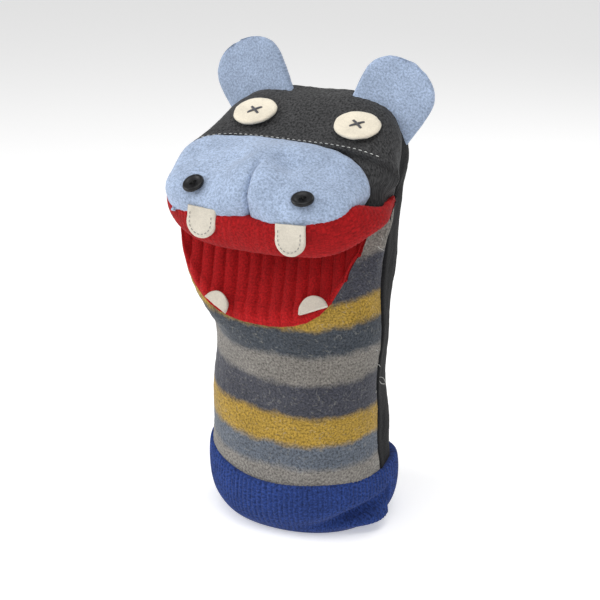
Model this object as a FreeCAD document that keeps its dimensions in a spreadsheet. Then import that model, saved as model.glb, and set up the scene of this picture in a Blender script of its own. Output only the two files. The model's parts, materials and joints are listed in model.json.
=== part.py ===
"""Sock-style hippopotamus hand puppet of felted wool, as an assembly of its sewn pieces.

The sleeve stands on its ribbed cuff, with the hand opening's centre at the origin, +Z up and the
face towards -Y. Both jaws turn about one line, the fold at the back of the mouth. Angles called
polar are taken about that line in the YZ plane: 0 points back (+Y), 90 up, 180 forward (-Y).
Left and right are the puppet's own, so left is +X. Lengths are millimetres, angles degrees.
"""
import FreeCAD, Part
import math
import os

import Sketcher
from FreeCAD import Placement, Rotation, Vector

DIMENSIONS = {
    # fabrics and clearances
    "wool": 3.0,
    "knit": 2.5,
    "felt": 1.4,
    "lining": 1.2,
    "gap": 0.3,
    # cuff
    "cuff_height": 34.0,
    "cuff_foot_half_width": 55.0,
    "cuff_foot_half_depth": 47.0,
    "cuff_half_width": 60.0,
    "cuff_half_depth": 52.0,
    "cuff_bore_half_width": 49.0,
    "cuff_bore_half_depth": 41.0,
    "cuff_seam_height": 1.4,
    # sleeve
    "sleeve_half_width": 54.0,
    "sleeve_half_depth": 47.0,
    "sleeve_foot_half_width": 57.0,
    "sleeve_foot_half_depth": 49.0,
    "sleeve_waist_height": 80.0,
    "sleeve_neck_height": 150.0,
    "sleeve_shoulder_half_width": 60.0,
    "sleeve_height": 204.0,
    "side_seam_width": 2.0,
    "throat_angle": 62.0,
    "nape_angle": 43.0,
    # mouth fold, which both jaws turn about
    "fold_setback": 6.0,
    "fold_height": 211.0,
    "fold_radius": 1.2,
    "fold_half_width": 60.0,
    "fold_room": 1.8,
    # head
    "head_radius": 60.0,
    "head_half_width": 66.0,
    "head_rim": 34.0,
    "ridge_angle": 60.0,
    "head_back_reach": 22.0,
    "brow_setback": 18.0,
    "brow_height": 237.0,
    "forehead_slope": 38.0,
    "nape_lining_reach": 5.0,
    "brow_binding_width": 5.0,
    # upper jaw
    "palate_angle": 25.0,
    "lip_half_width": 66.0,
    "lip_length": 60.0,
    "lip_corner": 30.0,
    "lip_height": 20.0,
    "lip_round": 8.0,
    "lip_wall": 6.0,
    "board": 1.5,
    "muzzle_back": 1.2,
    "muzzle_length": 52.0,
    "muzzle_half_width": 62.0,
    "muzzle_corner": 26.0,
    "muzzle_top": 28.5,
    "muzzle_round": 7.0,
    "lobe_spread": 31.0,
    "lobe_reach": 37.0,
    "lobe_height": 22.0,
    "lobe_half_width": 33.0,
    "lobe_half_length": 26.0,
    "lobe_rise": 17.0,
    "dart_width": 2.0,
    "dart_depth": 1.5,
    # lower jaw
    "jaw_angle": 55.0,
    "jaw_half_width": 62.0,
    "jaw_length": 84.0,
    "jaw_corner": 44.0,
    "chin_angle": 8.0,
    "jaw_bed_depth": 4.8,
    # eyes, nostrils, teeth, ears
    "eye_radius": 14.0,
    "eye_spread": 34.0,
    "eye_setback": 24.0,
    "thread": 1.0,
    "cross_length": 9.0,
    "button_radius": 6.5,
    "button_height": 3.0,
    "button_dish_radius": 4.6,
    "button_dish_depth": 0.9,
    "button_hole_radius": 0.8,
    "button_hole_circle": 1.9,
    "nostril_spread": 34.0,
    "nostril_reach": 49.0,
    "nostril_height": 37.9,
    "nostril_tilt": 16.0,
    "tooth_spread": 28.0,
    "tooth_half_width": 10.0,
    "tooth_length": 17.8,
    "tooth_setback": 69.2,
    "tooth_top": 202.0,
    "ear_clearance": 1.6,
    "lower_tooth_spread": 31.0,
    "lower_tooth_reach": 79.0,
    "lower_tooth_half_width": 9.5,
    "lower_tooth_length": 15.0,
    "lower_tooth_turn": 22.0,
    "ear_layer": 2.4,
    "ear_base_half_width": 19.5,
    "ear_half_width": 22.5,
    "ear_length": 43.0,
    "ear_spread": 42.0,
    "ear_setback": 19.0,
    "ear_base_height": 252.0,
    "ear_lean": 26.0,
}

FAR = 400.0
STITCH_LENGTH = 2.6
STITCH_PITCH = 4.2
STITCHES_EACH_SIDE = 9

doc = FreeCAD.newDocument("hand_puppet")
sheet = doc.addObject("Spreadsheet::Sheet", "dims")
for row, (alias, number) in enumerate(DIMENSIONS.items(), start=1):
    sheet.set(f"A{row}", alias)
    sheet.set(f"B{row}", str(number))
    sheet.setAlias(f"B{row}", alias)
workings = doc.addObject("Spreadsheet::Sheet", "workings")
doc.recompute()

nodes = {}


def size(alias):
    """The number that the sheet holds under an alias."""
    return float(sheet.get(alias))


def in_cells(expression):
    """An expression with each word that is an alias written as its cell."""
    return " ".join(f"dims.{w}" if w in DIMENSIONS else w for w in expression.split(" "))


def value(expression):
    """The number that an expression in aliases stands for."""
    workings.set("A1", "=" + in_cells(expression))
    workings.recompute()
    return float(workings.get("A1"))


def bind(obj, **expressions):
    """Ties properties of an object to expressions in aliases."""
    for name, expression in expressions.items():
        obj.setExpression(name.replace("__", "."), in_cells(expression))
    return obj


def add(kind, name, **properties):
    """A new document object with plain properties set."""
    obj = doc.addObject(kind, name)
    for key, setting in properties.items():
        setattr(obj, key, setting)
    return obj


def keep(label, obj):
    """Records an object as a finished piece of the puppet under its node name."""
    obj.Label = label
    nodes[label] = obj
    return obj


def cut(name, base, tool):
    """One shape with another removed."""
    return add("Part::Cut", name, Base=base, Tool=tool)


def common(name, *shapes):
    """What several shapes share."""
    return add("Part::MultiCommon", name, Shapes=list(shapes))


# ---------------------------------------------------------------- frames and cutting tools


def fold_line():
    """A point on the mouth fold, which both jaws turn about."""
    return Vector(0, -size("fold_setback"), size("fold_height"))


def along_x(turn=0.0):
    """A placement on the fold whose local Z runs along +X, started at a polar angle."""
    axes = Rotation(Vector(0, 1, 0), Vector(0, 0, 1), Vector(1, 0, 0), "ZXY")
    return Placement(fold_line(), axes * Rotation(Vector(0, 0, 1), turn))


def jaw_frame(angle, up):
    """A frame on the fold: local Y runs forward along a jaw, local Z away from it, up or down."""
    a = math.radians(angle)
    forward = Vector(0, -math.cos(a), -math.sin(a))
    across = Vector(-1 if up else 1, 0, 0)
    return Placement(fold_line(), Rotation(across, forward, across.cross(forward), "ZXY"))


def sector(name, start, sweep):
    """A pie slice about the fold, from one polar angle through an angle written in aliases."""
    slice_ = add("Part::Cylinder", name, Radius=FAR, Height=2 * FAR)
    bind(slice_, Angle=sweep)
    slice_.Placement = along_x(start).multiply(Placement(Vector(0, 0, -FAR), Rotation()))
    return slice_


def half_space(name, point, lean=0.0):
    """A block behind (+Y of) a plane through a point that leans back by an angle."""
    block = add("Part::Box", name, Length=2 * FAR, Width=FAR, Height=2 * FAR)
    turn = Rotation(Vector(1, 0, 0), -lean)
    block.Placement = Placement(point + turn.multVec(Vector(-FAR, 0, -FAR)), turn)
    return block


# ---------------------------------------------------------------- soft tubes


def ellipse(name, half_width, half_depth, height):
    """A level ellipse, wide along X."""
    ring = add("Part::Ellipse", name)
    bind(ring, MajorRadius=half_width, MinorRadius=half_depth, Placement__Base__z=height)
    return ring


def tube(name, levels, inset):
    """A closed skin through level ellipses, each (half width, half depth, height) in aliases."""
    rings = [
        ellipse(f"{name}_ring{i}", f"{a} - ( {inset} )", f"{b} - ( {inset} )", h)
        for i, (a, b, h) in enumerate(levels)
    ]
    return add("Part::Loft", name, Sections=rings, Solid=True, Ruled=True)


SLEEVE_FOOT = "cuff_height + cuff_seam_height"
SLEEVE_LEVELS = [
    ("sleeve_foot_half_width", "sleeve_foot_half_depth", SLEEVE_FOOT),
    ("sleeve_half_width", "sleeve_half_depth", "sleeve_waist_height"),
    ("sleeve_half_width", "sleeve_half_depth", "sleeve_neck_height"),
    ("sleeve_shoulder_half_width", "sleeve_half_depth", "sleeve_height"),
]


def make_cuff():
    """The ribbed band, folded double, and the ring of stitches that joins it to the sleeve."""
    outside = tube(
        "cuff_outside",
        [
            ("cuff_foot_half_width", "cuff_foot_half_depth", "0 * gap"),
            ("cuff_half_width", "cuff_half_depth", "cuff_height * 0.55"),
            ("sleeve_foot_half_width", "sleeve_foot_half_depth", "cuff_height"),
        ],
        "0 * gap",
    )
    inside = tube(
        "cuff_inside",
        [
            ("cuff_bore_half_width", "cuff_bore_half_depth", "0 * gap"),
            ("cuff_bore_half_width", "cuff_bore_half_depth", "cuff_height"),
        ],
        "0 * gap",
    )
    keep("cuff", cut("cuff_shape", outside, inside))
    bottom, top = "cuff_height", SLEEVE_FOOT
    seam_out = tube(
        "cuff_seam_outside",
        [("sleeve_foot_half_width", "sleeve_foot_half_depth", z) for z in (bottom, top)],
        "knit / 2",
    )
    seam_in = tube(
        "cuff_seam_inside",
        [("sleeve_foot_half_width", "sleeve_foot_half_depth", z) for z in (bottom, top)],
        "knit / 2 + wool",
    )
    keep("cuff_seam", cut("cuff_seam_shape", seam_out, seam_in))


def make_sleeve():
    """Front and back panels, the two side seams and the hand lining inside them."""
    skin = cut(
        "sleeve_skin",
        tube("sleeve_outside", SLEEVE_LEVELS, "0 * gap"),
        tube("sleeve_inside", SLEEVE_LEVELS, "wool"),
    )
    lining = cut(
        "lining_skin",
        tube("lining_outside", SLEEVE_LEVELS, "wool + gap"),
        tube("lining_inside", SLEEVE_LEVELS, "wool + gap + lining"),
    )
    throat = sector("throat_room", 60.0, "180 + throat_angle - 60")
    bed = jaw_frame(size("jaw_angle"), False).Rotation.multVec(Vector(0, 0, size("jaw_bed_depth")))
    throat.Placement.Base = throat.Placement.Base + bed
    nape = sector("nape_room", -size("nape_angle"), "nape_angle + 60")
    half_seam = size("side_seam_width") / 2
    setback = size("fold_setback")
    behind_front = half_space("behind_front", Vector(0, -setback - half_seam, 0))
    behind_back = half_space("behind_back", Vector(0, -setback + half_seam, 0))
    front = cut("front_half", skin, behind_front)
    keep("front_body_panel", cut("front_panel_shape", front, throat))
    back = common("back_half", skin, behind_back)
    drum_room = common("drum_room", nape, barrel("drum_sweep", "0 - 0.4"))
    keep("back_body_panel", cut("back_panel_shape", back, drum_room))
    for side, start in (("left", 0.0), ("right", -FAR)):
        strip = add("Part::Box", f"{side}_strip", Length=FAR, Height=FAR)
        bind(strip, Width="side_seam_width")
        strip.Placement.Base = Vector(start, -setback - half_seam, 0)
        full_strip = common(f"{side}_full_strip", skin, strip)
        keep(f"{side}_side_seam", cut(f"{side}_seam_shape", full_strip, throat))
    open_lining = cut("lining_without_mouth", lining, throat)
    keep("hand_lining", cut("hand_lining_shape", open_lining, drum_room))


# ---------------------------------------------------------------- head shell


def barrel(name, inset):
    """A round drum about the fold with rounded rims, smaller all over by an inset in aliases."""
    body = add("PartDesign::Body", name)
    plane = next(o for o in body.Origin.OriginFeatures if o.Role == "XY_Plane")
    sketch = body.newObject("Sketcher::SketchObject", f"{name}_circle")
    sketch.AttachmentSupport = (plane, [""])
    sketch.MapMode = "FlatFace"
    sketch.addGeometry(Part.Circle(Vector(), Vector(0, 0, 1), size("head_radius")), False)
    sketch.addConstraint(Sketcher.Constraint("Coincident", 0, 3, -1, 1))
    sketch.addConstraint(Sketcher.Constraint("Radius", 0, size("head_radius")))
    sketch.renameConstraint(1, "radius")
    bind(sketch, Constraints__radius=f"head_radius - ( {inset} )")
    pad = body.newObject("PartDesign::Pad", f"{name}_pad")
    pad.Profile = sketch
    pad.SideType = "Symmetric"
    bind(pad, Length=f"2 * ( head_half_width - ( {inset} ) )")
    doc.recompute()
    rims = [
        f"Edge{i}"
        for i, edge in enumerate(pad.Shape.Edges, start=1)
        if isinstance(edge.Curve, Part.Circle)
    ]
    rounding = body.newObject("PartDesign::Fillet", f"{name}_rims")
    rounding.Base = (pad, rims)
    bind(rounding, Radius=f"head_rim - ( {inset} )")
    body.Tip = rounding
    body.Placement = along_x()
    return body


def head_form(name, inset, reach=0.0):
    """The head as a solid: the drum behind the snout and under the sloping forehead."""
    amount = value(inset)
    brow = Vector(0, -size("brow_setback"), size("brow_height"))
    lean = 90.0 - size("forehead_slope")
    level = math.radians(lean)
    slope_normal = Vector(0, -math.cos(level), math.sin(level))
    front = half_space(f"{name}_front", brow - Vector(0, reach, 0), -size("palate_angle"))
    slope = half_space(f"{name}_slope", brow - slope_normal * amount, lean)
    return common(name, barrel(f"{name}_drum", inset), front, slope)


def make_head_shell():
    """Head top, head back and the lining behind the nape that the head back slides over."""
    shell = cut("head_shell", head_form("head_outside", "0 * gap"), head_form("head_inside", "wool", 10.0))
    ridge = size("ridge_angle")
    half_gap = 0.1
    top_slice = sector("top_slice", ridge + half_gap, "180 + palate_angle - ridge_angle - 0.1")
    keep("head_top_panel", common("head_top_shape", shell, top_slice))
    back_slice = sector("back_slice", -size("head_back_reach"), "head_back_reach + ridge_angle")
    keep("head_back_panel", common("head_back_shape", shell, back_slice))
    nape_skin = cut(
        "nape_skin",
        barrel("nape_outside", "wool + 0.6"),
        barrel("nape_inside", "wool + 0.6 + lining"),
    )
    nape_slice = sector("nape_slice", 0.4 - size("nape_angle"), "nape_angle - 0.4 - nape_lining_reach")
    nape_curve = common("nape_curve", nape_skin, nape_slice)
    ledge_room = tube("ledge_room", SLEEVE_LEVELS, "wool + gap + lining + gap")
    ledge_slice = sector("ledge_slice", -size("nape_angle") - 3, "3.5 + 0 * gap")
    ledge_solid = common("ledge_solid", ledge_room, ledge_slice)
    ledge = cut("ledge", ledge_solid, barrel("ledge_bore", "wool + 0.6 + lining"))
    keep("nape_lining", add("Part::Fuse", "nape_lining_shape", Base=nape_curve, Tool=ledge))


# ---------------------------------------------------------------- flat sewn pieces


def on_plane(body, name):
    """An empty sketch on a body's own XY plane."""
    plane = next(o for o in body.Origin.OriginFeatures if o.Role == "XY_Plane")
    sketch = body.newObject("Sketcher::SketchObject", name)
    sketch.AttachmentSupport = (plane, [""])
    sketch.MapMode = "FlatFace"
    return sketch


def rounded_outline(sketch, half_width, start, length, corner):
    """A plate from start to length along Y, square at the back and rounded at both front corners."""
    w, u0, u1, r = (value(e) for e in (half_width, start, length, corner))
    points = [Vector(-w, u0, 0), Vector(w, u0, 0), Vector(w, u1 - r, 0), Vector(w - r, u1, 0)]
    points += [Vector(r - w, u1, 0), Vector(-w, u1 - r, 0)]
    right = Part.Circle(Vector(w - r, u1 - r, 0), Vector(0, 0, 1), r)
    left = Part.Circle(Vector(r - w, u1 - r, 0), Vector(0, 0, 1), r)
    edges = [
        Part.LineSegment(points[0], points[1]),
        Part.LineSegment(points[1], points[2]),
        Part.ArcOfCircle(right, 0, math.pi / 2),
        Part.LineSegment(points[3], points[4]),
        Part.ArcOfCircle(left, math.pi / 2, math.pi),
        Part.LineSegment(points[5], points[0]),
    ]
    base, side, arc, front, arc2, side2 = sketch.addGeometry(edges, False)
    rules = [
        ("Coincident", base, 2, side, 1),
        ("Tangent", side, 2, arc, 1),
        ("Tangent", arc, 2, front, 1),
        ("Tangent", front, 2, arc2, 1),
        ("Tangent", arc2, 2, side2, 1),
        ("Coincident", side2, 2, base, 1),
        ("Horizontal", front),
        ("Vertical", side),
        ("Equal", arc, arc2),
        ("Symmetric", base, 1, base, 2, -2),
    ]
    for rule in rules:
        sketch.addConstraint(Sketcher.Constraint(*rule))
    named = {
        "half_width": (("DistanceX", -1, 1, base, 2, w), half_width),
        "start": (("DistanceY", -1, 1, base, 2, u0), start),
        "length": (("DistanceY", -1, 1, front, 1, u1), length),
        "corner": (("Radius", arc, r), corner),
    }
    name_sizes(sketch, named)


def tab_outline(sketch, base_half_width, half_width, length):
    """A tab standing on the X axis with a half-round end, such as a tooth or an ear."""
    b, w, h = (value(e) for e in (base_half_width, half_width, length))
    centre = Vector(0, h - w, 0)
    edges = [
        Part.LineSegment(Vector(-b, 0, 0), Vector(b, 0, 0)),
        Part.LineSegment(Vector(b, 0, 0), Vector(w, h - w, 0)),
        Part.ArcOfCircle(Part.Circle(centre, Vector(0, 0, 1), w), 0, math.pi),
        Part.LineSegment(Vector(-w, h - w, 0), Vector(-b, 0, 0)),
    ]
    base, side, arc, side2 = sketch.addGeometry(edges, False)
    rules = [
        ("Coincident", base, 2, side, 1),
        ("Coincident", side, 2, arc, 1),
        ("Coincident", arc, 2, side2, 1),
        ("Coincident", side2, 2, base, 1),
        ("PointOnObject", base, 1, -1),
        ("Symmetric", base, 1, base, 2, -1, 1),
        ("PointOnObject", arc, 3, -2),
        ("Symmetric", arc, 1, arc, 2, arc, 3),
        ("Horizontal", arc, 1, arc, 2),
    ]
    for rule in rules:
        sketch.addConstraint(Sketcher.Constraint(*rule))
    named = {
        "base_half_width": (("DistanceX", -1, 1, base, 2, b), base_half_width),
        "end_radius": (("Radius", arc, w), half_width),
        "shoulder": (("DistanceY", -1, 1, arc, 3, h - w), f"{length} - ( {half_width} )"),
    }
    name_sizes(sketch, named)


def name_sizes(sketch, named):
    """Adds dimensional constraints, each with a name and an expression in the sheet's aliases."""
    for name, (rule, expression) in named.items():
        index = sketch.addConstraint(Sketcher.Constraint(*rule))
        sketch.renameConstraint(index, name)
        bind(sketch, **{f"Constraints__{name}": expression})


def plate(name, outline, thickness, frame, lift="0 * gap"):
    """A flat piece: an outline padded to a thickness, lifted off its frame's plane."""
    body = add("PartDesign::Body", name)
    sketch = on_plane(body, f"{name}_outline")
    outline(sketch)
    pad = body.newObject("PartDesign::Pad", f"{name}_pad")
    pad.Profile = sketch
    bind(pad, Length=thickness)
    body.Tip = pad
    body.Placement = frame.multiply(Placement(Vector(0, 0, value(lift)), Rotation()))
    return body


def mouth_outline(half_width, length, corner, inset="0 * gap"):
    """An outline function for a mouth plate, starting clear of the fold and inset at its rim."""
    wide, long_, round_ = (f"{e} - ( {inset} )" for e in (half_width, length, corner))
    return lambda sketch: rounded_outline(sketch, wide, "fold_room", long_, round_)


def make_mouth():
    """The red lining of both jaws, the fold between them, and the stiff boards behind the lining."""
    fold = add("Part::Cylinder", "fold_roll")
    bind(fold, Radius="fold_radius", Height="2 * fold_half_width")
    fold.Placement = along_x().multiply(Placement(Vector(0, 0, -size("fold_half_width")), Rotation()))
    keep("mouth_fold", fold)

    upper = jaw_frame(size("palate_angle"), True)
    outer = plate("lip_block", mouth_outline("lip_half_width", "lip_length", "lip_corner"), "lip_height", upper)
    round_rims(outer, "lip_block", "lip_round", {0.0, size("lip_height")}, size("fold_room"))
    hollow = plate(
        "lip_hollow",
        lambda s: rounded_outline(
            s, "lip_half_width - lip_wall", "0 * gap - 20", "lip_length - lip_wall", "lip_corner - lip_wall"
        ),
        "lip_height",
        upper,
        "knit",
    )
    keep("upper_mouth_lining", cut("upper_lining_shape", outer, hollow))
    keep(
        "upper_mouth_board",
        plate(
            "upper_board",
            mouth_outline("lip_half_width", "lip_length", "lip_corner", "lip_wall + gap"),
            "board",
            upper,
            "knit + 0.1",
        ),
    )

    lower = jaw_frame(size("jaw_angle"), False)
    keep(
        "lower_mouth_lining",
        plate("lower_lining", mouth_outline("jaw_half_width", "jaw_length", "jaw_corner"), "knit", lower),
    )
    keep(
        "lower_mouth_board",
        plate(
            "lower_board",
            mouth_outline("jaw_half_width", "jaw_length", "jaw_corner", "wool + gap"),
            "board",
            lower,
            "knit + 0.1",
        ),
    )
    rim = plate(
        "chin_block",
        mouth_outline("jaw_half_width", "jaw_length", "jaw_corner"),
        "wool * 6",
        lower,
        "knit + 0.1",
    )
    room = plate(
        "chin_room",
        lambda s: rounded_outline(
            s, "jaw_half_width - wool", "0 * gap - 20", "jaw_length - wool", "jaw_corner - wool"
        ),
        "wool * 7",
        lower,
    )
    chin_slice = sector("chin_slice", 180 + size("jaw_angle"), "chin_angle")
    keep("chin_panel", common("chin_shape", cut("chin_rim", rim, room), chin_slice))


def round_rims(body, name, radius, heights, back):
    """Rounds the rims of a plate's faces at the given heights, all but their edge at the back."""
    doc.recompute()
    pad = body.Tip
    rims = []
    for i, edge in enumerate(pad.Shape.Edges, start=1):
        level = {round(v.Z, 3) for v in edge.Vertexes}
        at_back = all(abs(v.Y - back) < 0.01 for v in edge.Vertexes)
        if len(level) == 1 and any(abs(z - level.copy().pop()) < 0.01 for z in heights) and not at_back:
            rims.append(f"Edge{i}")
    rounding = body.newObject("PartDesign::Fillet", f"{name}_rims")
    rounding.Base = (pad, rims)
    bind(rounding, Radius=radius)
    body.Tip = rounding


def pillow(name, inset, bottom, thickness="lobe_height + lobe_rise"):
    """The padded snout as a solid, two lobes on a cushion, inset all over, between two heights."""
    frame = jaw_frame(size("palate_angle"), True)
    cushion = plate(
        f"{name}_cushion",
        lambda s: rounded_outline(
            s,
            f"muzzle_half_width - ( {inset} )",
            f"muzzle_back + ( {inset} )",
            f"muzzle_length - ( {inset} )",
            f"muzzle_corner - ( {inset} )",
        ),
        f"muzzle_top - ( {inset} )",
        frame,
    )
    top = value(f"muzzle_top - ( {inset} )")
    round_rims(cushion, f"{name}_cushion", f"muzzle_round - ( {inset} ) / 2", {top}, -FAR)
    parts = [cushion]
    for side, sign in (("left", -1), ("right", 1)):
        lobe = add("Part::Ellipsoid", f"{name}_{side}_lobe")
        bind(
            lobe,
            Radius1=f"lobe_rise - ( {inset} )",
            Radius2=f"lobe_half_width - ( {inset} )",
            Radius3=f"lobe_half_length - ( {inset} )",
        )
        centre = Vector(sign * size("lobe_spread"), size("lobe_reach"), size("lobe_height"))
        lobe.Placement = frame.multiply(Placement(centre, Rotation()))
        parts.append(lobe)
    slab = add("Part::Box", f"{name}_slab", Length=2 * FAR, Width=2 * FAR)
    bind(slab, Height=thickness)
    slab.Placement = frame.multiply(Placement(Vector(-FAR, -FAR, value(bottom)), Rotation()))
    return common(name, add("Part::MultiFuse", f"{name}_lobes", Shapes=parts), slab)


def make_muzzle():
    """The padded snout: its cover with a seam down the middle, its backing and its filling."""
    under = "lip_height + gap"
    frame = jaw_frame(size("palate_angle"), True)
    whole = pillow("muzzle_outside", "0 * gap", under)
    room = pillow("muzzle_inside", "knit", "lip_height - gap")
    half = size("dart_width") / 2
    deep = size("dart_depth")
    reach, top = size("muzzle_length"), size("muzzle_top")
    runs = {
        "front": (Vector(-half, reach - deep, 0), (2 * half, 2 * deep, 2 * top)),
        "top": (Vector(-half, size("muzzle_back") + 3, top - deep), (2 * half, reach, 2 * deep)),
    }
    grooves = []
    for name, (corner, (length, width, height)) in runs.items():
        groove = add("Part::Box", f"dart_{name}", Length=length, Width=width, Height=height)
        groove.Placement = frame.multiply(Placement(corner, Rotation()))
        grooves.append(groove)
    dart = add("Part::MultiFuse", "dart", Shapes=grooves)
    keep("muzzle_cover", cut("muzzle_cover_shape", cut("muzzle_skin", whole, room), dart))
    keep("muzzle_backing", pillow("muzzle_backing_shape", "knit + gap", under, "knit"))
    keep("muzzle_filling", pillow("muzzle_filling_shape", "knit + gap", "lip_height + knit + 2 * gap"))


# ---------------------------------------------------------------- face trim


def forehead_frame(x, back):
    """A frame on the forehead: local Z stands off it, local Y runs up it."""
    slope = math.radians(size("forehead_slope"))
    uphill = Vector(0, math.cos(slope), math.sin(slope))
    brow = Vector(x, -size("brow_setback"), size("brow_height"))
    normal = Vector(1, 0, 0).cross(uphill)
    return Placement(brow + uphill * back, Rotation(Vector(1, 0, 0), uphill, normal, "ZXY"))


def make_brow():
    """The turned hem of the head top along the snout, and its row of topstitches."""
    hem = add("Part::Box", "hem")
    bind(hem, Length="2 * ( head_half_width - head_rim + 10 )", Width="brow_binding_width", Height="felt")
    shift = Vector(-(size("head_half_width") - size("head_rim") + 10), 0.6, size("gap"))
    hem.Placement = forehead_frame(0, 0).multiply(Placement(shift, Rotation()))
    keep("brow_hem", hem)
    stitches = []
    for i in range(-STITCHES_EACH_SIDE, STITCHES_EACH_SIDE + 1):
        stitch = add("Part::Box", f"brow_stitch{i + STITCHES_EACH_SIDE}", Length=STITCH_LENGTH)
        bind(stitch, Width="thread * 0.6", Height="thread * 0.5")
        place = Vector(i * STITCH_PITCH - STITCH_LENGTH / 2, 2.6, size("gap") + size("felt") + 0.05)
        stitch.Placement = forehead_frame(0, 0).multiply(Placement(place, Rotation()))
        stitches.append(stitch)
    keep("brow_topstitch", add("Part::Compound", "brow_stitches", Links=stitches))


def make_eyes():
    """Two felt discs, each held by a cross of thread."""
    for side, sign in (("left", 1), ("right", -1)):
        frame = forehead_frame(sign * size("eye_spread"), size("eye_setback"))
        disc = add("Part::Cylinder", f"{side}_eye_disc")
        bind(disc, Radius="eye_radius", Height="felt")
        disc.Placement = frame.multiply(Placement(Vector(0, 0, size("gap")), Rotation()))
        keep(f"{side}_eye", disc)
        bars = []
        for turn in (45, 135):
            bar = add("Part::Box", f"{side}_eye_bar{turn}")
            bind(bar, Length="cross_length", Width="thread", Height="thread * 0.6")
            spin = Rotation(Vector(0, 0, 1), turn)
            start = Vector(-size("cross_length") / 2, -size("thread") / 2, 0)
            top = Vector(0, 0, size("gap") + size("felt") + 0.05)
            bar.Placement = frame.multiply(Placement(top + spin.multVec(start), spin))
            bars.append(bar)
        cross = add("Part::MultiFuse", f"{side}_eye_cross", Shapes=bars)
        keep(f"{side}_eye_cross_stitch", cross)


def round_sketch(body, name, radius, centre="0 * gap"):
    """A circle of a bound radius on a body's XY plane, off centre along X if asked."""
    sketch = on_plane(body, name)
    r, x = value(radius), value(centre)
    sketch.addGeometry(Part.Circle(Vector(x, 0, 0), Vector(0, 0, 1), r), False)
    if x:
        sketch.addConstraint(Sketcher.Constraint("PointOnObject", 0, 3, -1))
        named = {"offset": (("DistanceX", -1, 1, 0, 3, x), centre)}
        name_sizes(sketch, named)
    else:
        sketch.addConstraint(Sketcher.Constraint("Coincident", 0, 3, -1, 1))
    name_sizes(sketch, {"radius": (("Radius", 0, r), radius)})
    return sketch


def button(name, frame):
    """A four-hole sewing button with a dished face."""
    body = add("PartDesign::Body", name)
    pad = body.newObject("PartDesign::Pad", f"{name}_blank")
    pad.Profile = round_sketch(body, f"{name}_rim", "button_radius")
    bind(pad, Length="button_height")
    doc.recompute()
    dish = body.newObject("PartDesign::Pocket", f"{name}_dish")
    dish_sketch = round_sketch(body, f"{name}_dish_rim", "button_dish_radius")
    bind(dish_sketch, AttachmentOffset__Base__z="button_height")
    dish.Profile = dish_sketch
    bind(dish, Length="button_dish_depth")
    doc.recompute()
    hole = body.newObject("PartDesign::Pocket", f"{name}_hole")
    hole_sketch = round_sketch(body, f"{name}_hole_rim", "button_hole_radius", "button_hole_circle")
    bind(hole_sketch, AttachmentOffset__Base__z="button_height")
    hole.Profile = hole_sketch
    bind(hole, Length="button_height + 1")
    doc.recompute()
    pattern = body.newObject("PartDesign::PolarPattern", f"{name}_holes")
    pattern.Originals = [hole]
    pattern.Axis = (next(o for o in body.Origin.OriginFeatures if o.Role == "Z_Axis"), [""])
    pattern.Angle = 360
    pattern.Occurrences = 4
    body.Tip = pattern
    body.Placement = frame
    return body


def make_nostrils():
    """Two buttons sewn on the snout, each with its crossed thread."""
    for side, sign in (("left", 1), ("right", -1)):
        base = jaw_frame(size("palate_angle"), True)
        place = Vector(-sign * size("nostril_spread"), size("nostril_reach"), size("nostril_height"))
        tilt = Rotation(Vector(1, 0, 0), -size("nostril_tilt"))
        frame = base.multiply(Placement(place, tilt))
        keep(f"{side}_nostril_button", button(f"{side}_button", frame))
        bars = []
        for turn in (0, 90):
            bar = add("Part::Box", f"{side}_nostril_bar{turn}")
            bind(bar, Length="2 * button_hole_circle", Width="thread * 0.8", Height="thread * 0.5")
            spin = Rotation(Vector(0, 0, 1), turn)
            start = Vector(-size("button_hole_circle"), -size("thread") * 0.4, 0)
            floor = size("button_height") - size("button_dish_depth") + 0.05
            bar.Placement = frame.multiply(Placement(spin.multVec(start) + Vector(0, 0, floor), spin))
            bars.append(bar)
        keep(f"{side}_nostril_thread", add("Part::MultiFuse", f"{side}_nostril_cross", Shapes=bars))


def make_teeth():
    """Four teeth, each of two felt layers: the upper pair hangs, the lower pair lies on the lining."""
    hang = Rotation(Vector(1, 0, 0), Vector(0, 0, -1), Vector(0, 1, 0), "ZXY")
    for side, sign in (("left", 1), ("right", -1)):
        for layer, forward in (("back", 0.0), ("front", size("felt") + 0.1)):
            setback = size("tooth_setback") + size("felt") + forward
            root = Vector(sign * size("tooth_spread"), -setback, size("tooth_top"))
            outline = lambda s: tab_outline(s, "tooth_half_width", "tooth_half_width", "tooth_length")
            keep(f"upper_{side}_tooth_{layer}", plate(f"upper_{side}_{layer}", outline, "felt", Placement(root, hang)))
    lower = jaw_frame(size("jaw_angle"), False)
    for side, sign in (("left", 1), ("right", -1)):
        spin = Rotation(Vector(0, 0, 1), 180 - sign * size("lower_tooth_turn"))
        place = Vector(sign * size("lower_tooth_spread"), size("lower_tooth_reach"), 0)
        for layer, lift in (("back", size("gap")), ("front", size("gap") + size("felt") + 0.1)):
            frame = lower.multiply(Placement(place - Vector(0, 0, lift + size("felt")), spin))
            outline = lambda s: tab_outline(
                s, "lower_tooth_half_width", "lower_tooth_half_width", "lower_tooth_length"
            )
            keep(f"lower_{side}_tooth_{layer}", plate(f"lower_{side}_{layer}", outline, "felt", frame))


def ear_frame(sign):
    """A frame at an ear's root: local X along the root, local Y up the ear, local Z forward."""
    lean = math.radians(size("ear_lean"))
    up = Vector(sign * math.sin(lean), 0.12, math.cos(lean)).normalize()
    forward = Vector(sign * 0.12, -1, 0)
    across = up.cross(forward).normalize()
    root = Vector(sign * size("ear_spread"), size("ear_setback"), size("ear_base_height"))
    return Placement(root, Rotation(across, up, across.cross(up), "ZXY"))


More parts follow.
